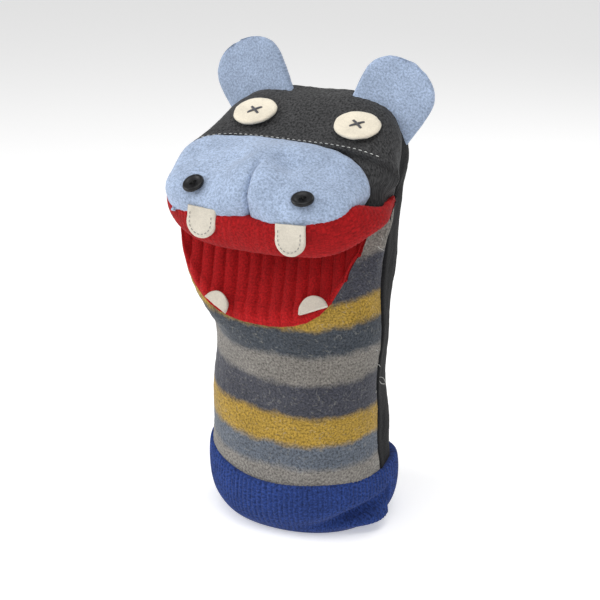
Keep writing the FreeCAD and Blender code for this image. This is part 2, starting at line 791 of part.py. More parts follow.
def make_ears():
    """Two ears, each of a front and a back layer of felted wool sewn round the edge."""
    outline = lambda s: tab_outline(s, "ear_base_half_width", "ear_half_width", "ear_length")
    head = head_form("ear_trim", "0 - ear_clearance")
    for side, sign in (("left", 1), ("right", -1)):
        frame = ear_frame(sign)
        for layer, lift in (("front", "0.05 + 0"), ("back", "0 - ear_layer - 0.05")):
            tab = plate(f"{side}_ear_{layer}_tab", outline, "ear_layer", frame, lift)
            keep(f"{side}_ear_{layer}", cut(f"{side}_ear_{layer}_shape", tab, head))


def check_document():
    """Stops on any object that failed to rebuild and on any piece that isn't a sound solid."""
    for obj in doc.Objects:
        if any(word in ("Invalid", "Error") for word in obj.State):
            raise RuntimeError(f"{obj.Label} failed: {obj.State}")
    for label, obj in nodes.items():
        shape = obj.Shape
        if shape.isNull() or not shape.isValid() or not shape.Solids:
            raise RuntimeError(f"{label} isn't a sound solid")


def write_parts():
    """Writes each piece to parts/NODE.step."""
    os.makedirs("parts", exist_ok=True)
    for name in os.listdir("parts"):
        os.remove(os.path.join("parts", name))
    for label, obj in nodes.items():
        obj.Shape.exportStep(f"parts/{label}.step")
        print(f"{label}: {len(obj.Shape.Solids)} solids, {obj.Shape.Volume / 1000:.2f} cm3")


make_cuff()
make_sleeve()
make_head_shell()
make_mouth()
make_muzzle()
make_brow()
make_eyes()
make_nostrils()
make_teeth()
make_ears()
doc.recompute()
check_document()
write_parts()
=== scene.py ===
import json
import math

import bmesh
import bpy
import numpy as np
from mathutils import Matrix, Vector

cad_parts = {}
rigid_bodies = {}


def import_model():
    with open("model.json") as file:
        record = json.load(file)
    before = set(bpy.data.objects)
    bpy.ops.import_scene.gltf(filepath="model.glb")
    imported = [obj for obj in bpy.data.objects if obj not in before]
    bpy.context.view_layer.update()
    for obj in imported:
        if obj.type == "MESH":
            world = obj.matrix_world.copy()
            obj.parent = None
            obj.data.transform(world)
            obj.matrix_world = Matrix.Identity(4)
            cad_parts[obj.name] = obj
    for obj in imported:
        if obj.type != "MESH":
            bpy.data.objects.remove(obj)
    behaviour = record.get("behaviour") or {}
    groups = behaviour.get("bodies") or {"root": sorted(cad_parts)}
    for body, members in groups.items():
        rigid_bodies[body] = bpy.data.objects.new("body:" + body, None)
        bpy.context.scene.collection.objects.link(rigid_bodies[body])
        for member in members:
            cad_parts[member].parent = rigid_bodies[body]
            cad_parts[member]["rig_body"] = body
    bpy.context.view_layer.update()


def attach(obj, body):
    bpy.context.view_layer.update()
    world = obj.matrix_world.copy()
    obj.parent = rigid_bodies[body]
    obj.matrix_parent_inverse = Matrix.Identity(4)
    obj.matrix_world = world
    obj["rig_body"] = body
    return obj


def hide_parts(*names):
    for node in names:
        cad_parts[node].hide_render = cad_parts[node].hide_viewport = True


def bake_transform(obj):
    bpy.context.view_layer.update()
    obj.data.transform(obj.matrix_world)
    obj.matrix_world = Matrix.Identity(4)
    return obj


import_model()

MM = 0.001

# the fold at the back of the mouth, and how far each jaw slopes below straight ahead
FOLD = np.array([0.0, -6.0, 211.0])
PALATE = math.radians(25)
JAW = math.radians(55)
FELT = 2.6  # felted wool's thickness
RIB = 2.2  # rib knit's thickness

# ------------------------------------------------------------------ numbers and curves


def smooth(x, a, b):
    """0 below a, 1 above b, eased between."""
    t = np.clip((x - a) / (b - a), 0, 1)
    return t * t * (3 - 2 * t)


def spow(x, p):
    """A signed power."""
    return np.sign(x) * np.abs(x) ** p


def through(keys, u):
    """A smooth curve through evenly spaced rows of keys, at u from 0 to 1."""
    keys = np.asarray(keys, float)
    if keys.ndim == 1:
        keys = keys[:, None]
    n = len(keys) - 1
    padded = np.vstack([2 * keys[0] - keys[1], keys, 2 * keys[-1] - keys[-2]])
    x = np.clip(np.asarray(u, float) * n, 0, n - 1e-9)
    i = x.astype(int)
    t = (x - i)[..., None]
    a, b, c, d = (padded[i + k] for k in range(4))
    out = 0.5 * (
        2 * b + (c - a) * t + (2 * a - 5 * b + 4 * c - d) * t**2 + (3 * b - a - 3 * c + d) * t**3
    )
    return out


def lattice_noise(p, size, seed):
    """Smooth value noise from -1 to 1 at points p in mm."""
    q = np.asarray(p, float) / size
    i = np.floor(q).astype(np.int64)
    f = q - i
    f = f * f * (3 - 2 * f)
    total = 0.0
    for dx in (0, 1):
        for dy in (0, 1):
            for dz in (0, 1):
                h = (i[..., 0] + dx) * 374761393 + (i[..., 1] + dy) * 668265263
                h = (h + (i[..., 2] + dz) * 2147483647 + seed * 974634777) & 0xFFFFFFFF
                h = ((h ^ (h >> 13)) * 1274126177) & 0xFFFFFFFF
                h = (h ^ (h >> 16)) & 0xFFFF
                w = (
                    (f[..., 0] if dx else 1 - f[..., 0])
                    * (f[..., 1] if dy else 1 - f[..., 1])
                    * (f[..., 2] if dz else 1 - f[..., 2])
                )
                total = total + w * (h / 32767.5 - 1)
    return total


def palate_point(x, f, up):
    """A point in the upper jaw's frame: across, forward along the palate, and up from it."""
    return np.stack(
        [
            x + 0 * f,
            FOLD[1] - f * math.cos(PALATE) - up * math.sin(PALATE),
            FOLD[2] - f * math.sin(PALATE) + up * math.cos(PALATE),
        ],
        -1,
    )


def jaw_point(x, f, down):
    """A point in the lower jaw's frame: across, forward along the jaw, and down behind it."""
    return np.stack(
        [
            x + 0 * f,
            FOLD[1] - f * math.cos(JAW) + down * math.sin(JAW),
            FOLD[2] - f * math.sin(JAW) - down * math.cos(JAW),
        ],
        -1,
    )


def arc(t, w, length, n):
    """A rounded U: t runs from -1 at one back corner round the front to 1 at the other."""
    a = t * math.pi / 2
    return w * spow(np.sin(a), 2 / n), length * spow(np.cos(a), 2 / n)


def circle(sides):
    """Angles evenly spaced round a circle."""
    return np.linspace(0, 2 * math.pi, sides, endpoint=False)


# ------------------------------------------------------------------ meshes


def normals(p, closed_u=False):
    """Unit normals of a grid of points."""
    if closed_u:
        du = np.roll(p, -1, 0) - np.roll(p, 1, 0)
    else:
        du = np.gradient(p, axis=0)
    dv = np.gradient(p, axis=1)
    n = np.cross(du, dv)
    return n / np.maximum(np.linalg.norm(n, axis=-1, keepdims=True), 1e-9)


def lengths(p):
    """Distances along both directions of a grid, in metres, as UVs."""
    nu, nv = p.shape[:2]
    du = np.linalg.norm(np.diff(p, axis=0), axis=-1)
    dv = np.linalg.norm(np.diff(p, axis=1), axis=-1)
    u = np.vstack([np.zeros((1, nv)), np.cumsum(du, 0)])
    v = np.hstack([np.zeros((nu, 1)), np.cumsum(dv, 1)])
    u = u - u[nu // 2 : nu // 2 + 1]
    return np.stack([u, v], -1) * MM


def grid_faces(nu, nv, offset=0, flip=False, closed_u=False):
    """Quads of a grid."""
    faces = []
    for i in range(nu if closed_u else nu - 1):
        k = (i + 1) % nu
        for j in range(nv - 1):
            q = (offset + i * nv + j, offset + k * nv + j, offset + k * nv + j + 1, offset + i * nv + j + 1)
            faces.append(q[::-1] if flip else q)
    return faces


def border(index):
    """A grid's outer points, in order."""
    return np.concatenate([index[:, 0], index[-1, 1:], index[-2::-1, -1], index[0, -2:0:-1]])


def make_mesh(name, verts, faces, uvs=None):
    """A smooth-shaded mesh object from points in mm."""
    mesh = bpy.data.meshes.new(name)
    mesh.from_pydata((np.asarray(verts, float) * MM).tolist(), [], [tuple(map(int, f)) for f in faces])
    mesh.polygons.foreach_set("use_smooth", [True] * len(mesh.polygons))
    if uvs is not None:
        layer = mesh.uv_layers.new(name="cloth")
        index = np.empty(len(mesh.loops), np.int32)
        mesh.loops.foreach_get("vertex_index", index)
        layer.data.foreach_set("uv", np.asarray(uvs, np.float32)[index].ravel())
    mesh.update()
    obj = bpy.data.objects.new(name, mesh)
    bpy.context.collection.objects.link(obj)
    return obj


def shell(name, p, thick, closed_u=False, flip=False, round_edge=0.35, uv=None):
    """Cloth of a thickness from a grid of outside points, closed all round with soft edges."""
    nu, nv = p.shape[:2]
    n = normals(p, closed_u) * (-1 if flip else 1)
    inner = p - n * thick
    uv = lengths(p) if uv is None else uv
    verts = [p.reshape(-1, 3), inner.reshape(-1, 3)]
    faces = grid_faces(nu, nv, 0, flip, closed_u)
    faces += grid_faces(nu, nv, nu * nv, not flip, closed_u)
    uvs = [uv.reshape(-1, 2), uv.reshape(-1, 2)]
    count = 2 * nu * nv
    index = np.arange(nu * nv).reshape(nu, nv)
    if closed_u:
        loops = [(index[:, 0], index[:, 1]), (index[:, -1][::-1], index[:, -2][::-1])]
    else:
        ring = border(index)
        near = np.concatenate([index[:, 1], index[-2, 1:], index[-2::-1, -2], index[1, -2:0:-1]])
        loops = [(ring, near)]
    flat, flat_in, flat_uv = p.reshape(-1, 3), inner.reshape(-1, 3), uv.reshape(-1, 2)
    for ring, near in loops:
        out = flat[ring] - flat[near]
        out /= np.maximum(np.linalg.norm(out, axis=-1, keepdims=True), 1e-9)
        verts.append((flat[ring] + flat_in[ring]) / 2 + out * thick * round_edge)
        uvs.append(flat_uv[ring])
        m = len(ring)
        for k in range(m):
            a, b = ring[k], ring[(k + 1) % m]
            c, d = count + k, count + (k + 1) % m
            f1, f2 = (a, c, d, b), (c, a + nu * nv, b + nu * nv, d)
            faces += [f1[::-1], f2[::-1]] if flip else [f1, f2]
        count += m
    obj = make_mesh(name, np.vstack(verts), faces, np.vstack(uvs))
    return fix_normals(obj)


def fix_normals(obj):
    """Makes a closed mesh's faces point outward."""
    bm = bmesh.new()
    bm.from_mesh(obj.data)
    bmesh.ops.remove_doubles(bm, verts=bm.verts, dist=1e-6)
    bmesh.ops.recalc_face_normals(bm, faces=bm.faces)
    bm.to_mesh(obj.data)
    bm.free()
    obj.data.polygons.foreach_set("use_smooth", [True] * len(obj.data.polygons))
    obj.data.update()
    return obj


def joined(name, parts):
    """One object from several meshes given as (verts, faces) in mm."""
    verts, faces, count = [], [], 0
    for v, f in parts:
        verts.append(np.asarray(v, float))
        faces += [tuple(int(i) + count for i in face) for face in f]
        count += len(v)
    return make_mesh(name, np.vstack(verts), faces)


def tube(path, radius, sides):
    """A round thread along a path, narrowed at both ends: (verts, faces)."""
    path = np.asarray(path, float)
    n = len(path)
    tangent = np.gradient(path, axis=0)
    tangent /= np.linalg.norm(tangent, axis=1, keepdims=True)
    ref = np.array([0.0, 0.0, 1.0]) if abs(tangent[0][2]) < 0.9 else np.array([1.0, 0, 0])
    rings = []
    for k in range(n):
        a = np.cross(tangent[k], ref)
        a /= np.linalg.norm(a)
        b = np.cross(tangent[k], a)
        ref = np.cross(a, tangent[k])
        r = radius * (0.35 if k in (0, n - 1) else 1.0)
        ang = circle(sides)
        rings.append(path[k] + r * (np.outer(np.cos(ang), a) + np.outer(np.sin(ang), b)))
    verts = np.vstack(rings + [path[:1], path[-1:]])
    faces = []
    for k in range(n - 1):
        for s in range(sides):
            q = (s + 1) % sides
            faces.append((k * sides + s, k * sides + q, (k + 1) * sides + q, (k + 1) * sides + s))
    first, last = n * sides, n * sides + 1
    for s in range(sides):
        q = (s + 1) % sides
        faces.append((first, q, s))
        faces.append((last, (n - 1) * sides + s, (n - 1) * sides + q))
    return verts, faces


# ------------------------------------------------------------------ materials


class Nodes:
    """A small builder of material node trees."""

    def __init__(self, name):
        self.mat = bpy.data.materials.new(name)
        self.mat.use_nodes = True
        self.tree = self.mat.node_tree
        self.bsdf = self.tree.nodes["Principled BSDF"]

    def add(self, kind, **settings):
        """A new node; each setting is an input's value, or else a property."""
        node = self.tree.nodes.new(kind)
        for key, setting in settings.items():
            if key in node.inputs:
                node.inputs[key].default_value = setting
            else:
                setattr(node, key, setting)
        return node

    def link(self, a, out, b, into):
        """Joins an output of node a to an input of node b."""
        self.tree.links.new(a.outputs[out], b.inputs[into])

    def coords(self, use_uv):
        """The cloth's own UVs or the object's coordinates, as a node and its output."""
        node = self.add("ShaderNodeTexCoord")
        return node, ("UV" if use_uv else "Object")

    def ramp(self, stops):
        """A straight colour ramp through (place, colour) stops."""
        node = self.add("ShaderNodeValToRGB")
        ramp = node.color_ramp
        while len(ramp.elements) < len(stops):
            ramp.elements.new(0.5)
        for element, (place, colour) in zip(ramp.elements, sorted(stops)):
            element.position = place
            element.color = (*colour, 1)
        return node

    def mix(self, factor, a, b, mode="MIX"):
        """Mixes two colours; each of factor, a and b is (node, output) or a constant."""
        node = self.add("ShaderNodeMix", data_type="RGBA", blend_type=mode)
        for source, slot in ((factor, 0), (a, 6), (b, 7)):
            if isinstance(source, tuple) and hasattr(source[0], "outputs"):
                self.tree.links.new(source[0].outputs[source[1]], node.inputs[slot])
            elif slot == 0:
                node.inputs[0].default_value = source
            else:
                node.inputs[slot].default_value = (*source, 1)
        return node, 2


def shade(colour, k):
    """A colour made lighter or darker."""
    return tuple(min(1.0, c * k) for c in colour)


WANDER = 0.009  # how far the stripes' edges wander, in metres
STRIPE_MEAN = (0.24, 0.232, 0.20)  # what the pale wisps over the stripes are drawn from


def wool(name, colour, heather=0.35, grain=1.0, use_uv=True, stripes=None, lift=0.06, sheen=0.2, pill=0.25):
    """Felted wool: flecked fibres over a soft nap, with stripes if stops are given."""
    m = Nodes(name)
    co, out = m.coords(use_uv)
    fleck = m.add("ShaderNodeTexNoise", Scale=760.0 * grain, Detail=3.0, Roughness=0.7)
    m.link(co, out, fleck, "Vector")
    patch = m.add("ShaderNodeTexNoise", Scale=55.0, Detail=3.0, Roughness=0.6)
    m.link(co, out, patch, "Vector")
    wisps = m.add("ShaderNodeTexNoise", Scale=260.0 * grain, Detail=4.0, Roughness=0.75, Distortion=1.6)
    m.link(co, out, wisps, "Vector")
    if stripes:
        split = m.add("ShaderNodeSeparateXYZ")
        m.link(co, out, split, "Vector")
        wander = m.add("ShaderNodeTexNoise", Scale=95.0, Detail=5.0, Roughness=0.72)
        m.link(co, out, wander, "Vector")
        bend = m.add("ShaderNodeMath", operation="MULTIPLY_ADD")
        m.link(wander, "Fac", bend, 0)
        bend.inputs[1].default_value = WANDER
        m.link(split, "Y", bend, 2)
        scale = m.add("ShaderNodeMath", operation="MULTIPLY_ADD")
        m.link(bend, 0, scale, 0)
        low, high = stripes["low"], stripes["high"]
        scale.inputs[1].default_value = 1 / (high - low)
        scale.inputs[2].default_value = -(low + WANDER / 2) / (high - low)
        base = m.ramp(stripes["stops"])
        m.link(scale, 0, base, "Fac")
        base = (base, "Color")
    else:
        base = colour
    dark = m.ramp([(0.36, (0.0,) * 3), (0.62, (1.0,) * 3)])
    m.link(fleck, "Fac", dark, "Fac")
    lo, hi = 1 - heather, 1 + heather
    tone = m.mix((dark, "Color"), (lo,) * 3, (hi,) * 3)
    first = m.mix(1.0, base, tone, "MULTIPLY")
    light = m.ramp([(0.56, (0.0,) * 3), (0.74, (1.0,) * 3)])
    m.link(wisps, "Fac", light, "Fac")
    weak = m.add("ShaderNodeMath", operation="MULTIPLY")
    m.link(light, "Color", weak, 0)
    weak.inputs[1].default_value = pill
    mean = STRIPE_MEAN if stripes else colour
    pale = tuple(1.25 * c + lift for c in mean)
    second = m.mix((weak, 0), first, pale)
    mottle = m.ramp([(0.3, (0.86,) * 3), (0.7, (1.1,) * 3)])
    m.link(patch, "Fac", mottle, "Fac")
    third = m.mix(1.0, second, (mottle, "Color"), "MULTIPLY")
    m.tree.links.new(third[0].outputs[third[1]], m.bsdf.inputs["Base Color"])
    m.bsdf.inputs["Roughness"].default_value = 0.95
    m.bsdf.inputs["Specular IOR Level"].default_value = 0.15
    m.bsdf.inputs["Sheen Weight"].default_value = sheen
    m.bsdf.inputs["Sheen Roughness"].default_value = 0.5
    high = m.mix(0.5, (fleck, "Fac"), (wisps, "Fac"))
    bump = m.add("ShaderNodeBump", Strength=0.75, Distance=0.0007)
    m.tree.links.new(high[0].outputs[high[1]], bump.inputs["Height"])
    m.link(bump, "Normal", m.bsdf, "Normal")
    return m.mat


def plain(name, colour, rough, spec, coat=0.0):
    """A simple finish with fine speckle."""
    m = Nodes(name)
    co, out = m.coords(False)
    noise = m.add("ShaderNodeTexNoise", Scale=700.0, Detail=3.0)
    m.link(co, out, noise, "Vector")
    tone = m.ramp([(0.3, shade(colour, 0.75)), (0.7, shade(colour, 1.2))])
    m.link(noise, "Fac", tone, "Fac")
    m.link(tone, "Color", m.bsdf, "Base Color")
    m.bsdf.inputs["Roughness"].default_value = rough
    m.bsdf.inputs["Specular IOR Level"].default_value = spec
    m.bsdf.inputs["Coat Weight"].default_value = coat
    return m.mat


BLUE = (0.33, 0.41, 0.555)
CHARCOAL = (0.040, 0.040, 0.041)
BLACK = (0.010, 0.010, 0.011)
RED = (0.37, 0.009, 0.011)
CREAM = (0.78, 0.71, 0.575)
IVORY = (0.62, 0.575, 0.49)
ROYAL = (0.020, 0.044, 0.175)
GREY = (0.180, 0.168, 0.152)
NAVY = (0.048, 0.050, 0.064)
MUSTARD = (0.335, 0.212, 0.034)
SLATE = (0.099, 0.115, 0.141)
# slate darkened for the band under the lower jaw: painted shadow of the jaw
SLATE_PAINTED_SHADE = (0.046, 0.054, 0.066)
BEIGE = (0.20, 0.188, 0.172)

BANDS = [
    (30, BEIGE),
    (46, SLATE),
    (61, MUSTARD),
    (79.5, NAVY),
    (101, GREY),
    # this band is darkened as painted shadow, where the lower jaw hangs over it
    (119, SLATE_PAINTED_SHADE),
    (137, MUSTARD),
    (152, NAVY),
    (176, GREY),
    (212, NAVY),
    (226, NAVY),
]


def stripe_stops():
    """Colour stops up the sleeve, soft where one wool was felted into the next."""
    low, high = BANDS[0][0], BANDS[-1][0]
    soft = 2.2
    stops = []
    for (start, colour), (end, _) in zip(BANDS, BANDS[1:]):
        stops.append(((start + soft - low) / (high - low), colour))
        stops.append(((end - soft - low) / (high - low), colour))
    return {"low": low * MM, "high": high * MM, "stops": stops}


MATERIALS = {
    "blue": wool("blue_wool", BLUE, 0.26, pill=0.55, lift=0.08),
    "blue_pad": wool("blue_pad_wool", BLUE, 0.26, use_uv=False, pill=0.55, lift=0.08),
    # a darker copy of the ear blue: painted shade, for the one ear that the light reaches less
    "blue_painted_shade": wool("blue_painted_shade_wool", shade(BLUE, 0.84), 0.26, pill=0.5, lift=0.05),
    "charcoal": wool("charcoal_wool", CHARCOAL, 0.7, 0.9, sheen=0.10, pill=0.6, lift=0.07),
    "black": wool("black_wool", BLACK, 0.4, sheen=0.04, pill=0.05, lift=0.02),
    "red": wool("red_wool", RED, 0.35, sheen=0.03, pill=0.10, lift=0.004),
    # the red made darker for the upper lip alone: painted shade, matching how dimly the lip is lit
    "lip_red_painted_shade": wool("lip_red_painted_shade_wool", shade(RED, 0.80), 0.35, sheen=0.03, pill=0.10, lift=0.004),
    "ivory": wool("ivory_felt", IVORY, 0.06, 1.4, use_uv=False, pill=0.12),
    "cream": wool("cream_felt", CREAM, 0.06, 1.4, use_uv=False, pill=0.12),
    "royal": wool("royal_knit", ROYAL, 0.55, sheen=0.06, pill=0.22, lift=0.02),
    "striped": wool("striped_wool", GREY, 0.50, 0.95, stripes=stripe_stops(), pill=0.55),
    "grey_thread": plain("grey_thread", (0.10, 0.10, 0.11), 0.8, 0.2),
    "tooth_thread": plain("tooth_thread", (0.26, 0.25, 0.25), 0.8, 0.2),
    "pale_thread": plain("pale_thread", (0.55, 0.55, 0.53), 0.8, 0.2),
    "black_gloss": plain("black_button", (0.004, 0.004, 0.005), 0.42, 0.3, coat=0.05),
    "black_thread": plain("black_thread", (0.012, 0.012, 0.012), 0.85, 0.2),
    "lining": wool("fleece_lining", (0.09, 0.09, 0.10), 0.3, use_uv=False),
}


def finish_piece(obj, material, body, nodes=()):
    """Gives a piece its material, rides it on its body or else bakes its place in, and hides its nodes."""
    obj.data.materials.clear()
    obj.data.materials.append(MATERIALS[material])
    if isinstance(body, str):
        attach(obj, body)
    else:
        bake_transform(obj)
    if nodes:
        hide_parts(*nodes)


# ------------------------------------------------------------------ sleeve


def nap(p, n, amount=0.22, seed=3):
    """Points moved along their normals by the uneven surface of felted wool."""
    fine = lattice_noise(p, 2.6, seed) + 0.6 * lattice_noise(p, 6.5, seed + 1)
    return p + n * (fine * amount)[..., None]


SLEEVE_FOOT, SLEEVE_TOP = 34, 211


def up_sleeve(z):
    """How far up the sleeve a height is, from 0 at its foot to 1 at its top."""
    return (z - SLEEVE_FOOT) / (SLEEVE_TOP - SLEEVE_FOOT)


def sleeve_half_width(z):
    """Half the sleeve's width across the front, at a height."""
    return through([57.5, 55.0, 54.0, 54.0, 54.6, 57.0, 61.0], up_sleeve(z))[..., 0]


def sleeve_half_depth(z):
    """Half the sleeve's depth, at a height."""
    return through([43.0, 41.0, 40.0, 40.0, 40.0, 41.0, 42.0], up_sleeve(z))[..., 0]


def slump(p):
    """Soft folds and leans that gravity and a stuffed hand leave in the sleeve."""
    z = p[..., 2]
    side = np.arctan2(p[..., 0], -p[..., 1])
    low = smooth(z, 30, 60) * (1 - smooth(z, 150, 205))
    folds = 1.1 * np.sin(z / 17.0 + 2.2 * np.sin(side * 1.7 + 0.6)) + 0.7 * np.sin(z / 8.5 + 3 * side + 1.0)
    folds += 1.6 * lattice_noise(p * np.array([1, 1, 0.8]), 34.0, 11)
    radial = p * np.array([1, 1, 0])
    radial = radial / np.maximum(np.linalg.norm(radial, axis=-1, keepdims=True), 1e-6)
    return p + radial * (folds * low * 0.9)[..., None]


def jaw_rim(t, w, length):
    """The lower jaw's outline, a little to one side."""
    x, f = arc(t, w, length, 2.6)
    return x - 11.0 * smooth(f, 0, 26) + 7.0 * smooth(f, 42, 86), f


def front_panel():
    """The striped panel: up from the cuff and out under the lower jaw to its rim."""
    nu, nv = 150, 120
    t = np.linspace(-0.07, 1.07, nu)[:, None]
    a = math.pi * t
    h = np.linspace(0, 1, nv)[None, :]
    rim_t = np.clip(1 - 2 * t, -1, 1)
    rim = jaw_point(*jaw_rim(rim_t, 61.6, 85.0), 3.6)
    z0 = 33.0
    z = z0 + h * (rim[..., 2] - z0)
    w, d = sleeve_half_width(z), sleeve_half_depth(z)
    x = w * spow(np.cos(a), 2 / 2.2)
    y = FOLD[1] - d * spow(np.sin(a), 2 / 2.2)
    flare = smooth(z, rim[..., 2] - 34, rim[..., 2]) ** 1.4
    x = x + (rim[..., 0] - x) * flare
    y = y + (rim[..., 1] - y) * flare
    tuck = np.clip(-t, 0, 1) + np.clip(t - 1, 0, 1)
    y = y + tuck * 120
    x = x * (1 - 1.1 * tuck)
    p = slump(np.stack([x, y, z + 0 * x], -1))
    lean = np.abs(x - 8) / 55
    stripe = z - 1.0 + 3.2 * smooth(x, 0, 55) - np.where(x > 8, 10.0, 7.5) * lean**2.5 + 0 * a
    uv = lengths(p)
    uv[..., 1] = stripe * MM
    p = nap(p, normals(p))
    obj = shell("front_panel", p, FELT, flip=True, uv=uv)
    # square to the jaw and down behind it, where the cloth turns from the sleeve to the jaw
    behind = np.array([0, math.sin(JAW), -math.cos(JAW)])
    start, end = (FOLD + behind * 46) * MM, (FOLD + behind * 6) * MM
    finish_piece(
        obj,
        "striped",
        ("sleeve", "lower_jaw", tuple(start), tuple(end)),
        ("front_body_panel", "chin_panel", "lower_mouth_board"),
    )


BACK_KEYS = [
    # seam z, far y, far z, half width, squareness
    (33, 49.0, 33, 57.5, 2.2),
    (60, 47.5, 60, 54.8, 2.2),
    (92, 47.0, 92, 54.0, 2.2),
    (124, 47.0, 124, 54.0, 2.2),
    (154, 47.8, 152, 55.0, 2.25),
    (183, 49.0, 176, 57.6, 2.35),
    (203, 50.0, 197, 60.0, 2.3),
    (211, 50.5, 216, 61.4, 2.4),
    (211, 48.5, 234, 63.0, 2.9),
    (211, 41.0, 250, 65.0, 3.1),
    (211, 29.0, 261, 64.6, 3.1),
    (211, 24.8, 266.4, 64.2, 3.1),
]


def head_row(key, t):
    """A row of the back or head: an arch from seam to seam through a far point."""
    seam_z, far_y, far_z, w, n = (key[..., i] for i in range(5))
    a = math.pi * t
    s = np.abs(np.sin(a)) ** (2 / n)
    x = w * spow(np.cos(a), 2 / n) * (1 - 0.07 * smooth(far_z, 205, 238) * (1 - s))
    y = FOLD[1] + (far_y - FOLD[1]) * s
    z = seam_z + (far_z - seam_z) * s
    return np.stack([x, y, z], -1)


def back_panel():
    """The black panel from the cuff up over the nape to the seam that holds the ears."""
    nu, nv = 150, 190
    t = np.linspace(0, 1, nu)[:, None]
    u = np.linspace(0, 1, nv)[None, :]
    key = through(BACK_KEYS, u + 0 * t)
    p = head_row(key, t + 0 * u)
    p[..., 0] *= 1 + 0.016 * (1 - smooth(np.sin(math.pi * t), 0, 0.12))
    p = slump(p)
    p = nap(p, normals(p), 0.2, 5)
    obj = shell("back_panel", p, FELT)
    # up and back past the fold, where the cloth turns from the sleeve to the head
    past = np.array([0, 0.5, 0.866])
    start, end = (FOLD - past * 20) * MM, (FOLD + past * 18) * MM
    finish_piece(
        obj,
        "black",
        ("sleeve", "head", tuple(start), tuple(end)),
        ("back_body_panel", "head_back_panel", "nape_lining", "left_side_seam", "right_side_seam"),
    )


FACE_KEYS = [
    # seam z, far y, far z, half width, squareness: from the ear seam forward to the snout
    (211, 23.0, 267.0, 64.5, 3.1),
    (211, 12.0, 263.5, 65.5, 3.4),
    (211, -1.0, 255.0, 66.0, 3.8),
    (211, -13.0, 244.5, 66.0, 4.2),
    (211, -22.0, 235.5, 65.0, 4.2),
    (211, -33.0, 229.0, 63.0, 3.7),
    (211, -38.0, 221.0, 62.0, 3.3),
    (211, -42.5, 212.0, 61.3, 3.0),
    (211, -41.0, 203.5, 60.8, 3.0),
]
HEM = 0.425


def face_grid(t, u):
    """The charcoal panel from the ear seam forward, stepping down in front of the brow's hem."""
    p = head_row(through(FACE_KEYS, u + 0 * t), t + 0 * u)
    lobe = smooth(t, 0.60, 0.86) * (1 - smooth(t, 0.93, 1.0)) * np.exp(-(((u - HEM - 0.03) / 0.16) ** 2))
    p = p + lobe[..., None] * np.array([-5.0, -9.0, 1.0])
    pinch = smooth(t, 0.0, 0.08) * (1 - smooth(t, 0.16, 0.34)) * np.exp(-(((u - HEM - 0.02) / 0.14) ** 2))
    p = p + pinch[..., None] * np.array([4.5, 1.5, -0.5])
    n = normals(p)
    middle = 1 - smooth(np.abs(t - 0.5), 0.34, 0.45)
    step = smooth(u, HEM - 0.006, HEM + 0.010) * middle
    roll = np.exp(-(((u - HEM + 0.022) / 0.02) ** 2)) * middle
    p = p + n * (0.4 + 0.8 * roll - 3.6 * step)[..., None]
    p[..., 2] += 1.2 * lattice_noise(p, 24.0, 21) * (1 - smooth(u, 0.3, 0.42))
    return p


def face_panel():
    """The charcoal forehead, from the ears down over the brow and round the cheeks to the lip."""
    t = np.linspace(0, 1, 220)[:, None]
    # rows stand closer together over the hem's step
    above, over, below = np.linspace(0.0, 0.38, 50), np.linspace(0.385, 0.46, 40), np.linspace(0.47, 1, 40)
    u = np.concatenate([above, over, below])[None, :]
    p = face_grid(t, u)
    p = nap(p, normals(p), 0.22, 9)
    obj = shell("head_top", p, FELT, round_edge=0.5)
    finish_piece(obj, "charcoal", "head", ("head_top_panel", "brow_hem"))
    fuzz_on("forehead_fuzz", obj, 700, "charcoal", "head", seed=32, above=226.0)


def cuff():
    """The ribbed cuff, folded double at its foot."""
    ribs, per = 118, 9
    nu = ribs * per
    a = circle(nu)
    profile = np.array(
        [
            (-3.0, 35.0), (1.2, 36.6), (3.4, 36.4), (4.4, 33.8), (4.9, 29), (4.9, 24), (4.3, 18.5),
            (2.7, 13), (0.1, 8.2), (-2.8, 4.4), (-5.4, 1.6), (-7.4, 0.4), (-9.0, 1.6), (-9.8, 5.5),
            (-9.2, 12), (-8.6, 20), (-8.0, 28), (-6.2, 33.0), (-3.0, 35.0),
        ]
    )
    m = 64
    keys = through(profile, np.linspace(0, 1, m))
    off, z = keys[:, 0][None, :], keys[:, 1][None, :]
    A = a[:, None]
    outer = smooth(off, -5.5, 0.5)
    w, d = 55.8 + 0 * off, 47.8 + 0 * off
    rib = np.abs(np.sin(A * ribs / 2)) ** 0.8
    rib = (rib - 0.6) * 0.8 * outer
    # the foot kicks out at one side over a dent, where the cuff has folded under itself
    kick = np.exp(-(((A - math.radians(346)) / 0.34) ** 2))
    kick_low = kick * (1 - smooth(z, 3, 16))
    crease = z - 19.0 + 11.0 * (math.radians(352) - A)
    dent = np.exp(-(((A - math.radians(332)) / 0.48) ** 2)) * np.exp(-((crease / 4.2) ** 2))
    wave = 0.9 * np.sin(3 * A + 0.5) + 0.6 * np.sin(7 * A + 2.0)
    r = off + rib + outer * (9.0 * kick_low - 8.5 * dent + wave * (1 - smooth(z, 0, 36)))
    x = (w + r) * spow(np.cos(A), 2 / 2.15)
    y = (d + r) * spow(np.sin(A), 2 / 2.15)
    rise = 0.2 + np.where(x > 8, 2.6, 7.0) * np.abs((x - 8) / 55) ** 2.5
    ripple = outer * (0.7 * np.sin(2 * A + 1.1) + 0.5 * np.sin(5 * A)) * smooth(z, 6, 34)
    zz = z + rise * smooth(z, 6, 36) + ripple + 0 * A
    p = np.stack([x, y, np.maximum(zz, 0.0)], -1)
    verts = p[:, :-1].reshape(-1, 3)
    k = m - 1
    faces = []
    for i in range(nu):
        j = (i + 1) % nu
        for q in range(k):
            s = (q + 1) % k
            faces.append((i * k + q, j * k + q, j * k + s, i * k + s))
    uv = np.stack([np.tile(a[:, None] * 55 * MM, (1, k)), np.tile(z[:, :-1] * MM, (nu, 1))], -1)
    obj = make_mesh("cuff_knit", verts, faces, uv.reshape(-1, 2))
    fix_normals(obj)
    finish_piece(obj, "royal", "sleeve", ("cuff", "cuff_seam"))


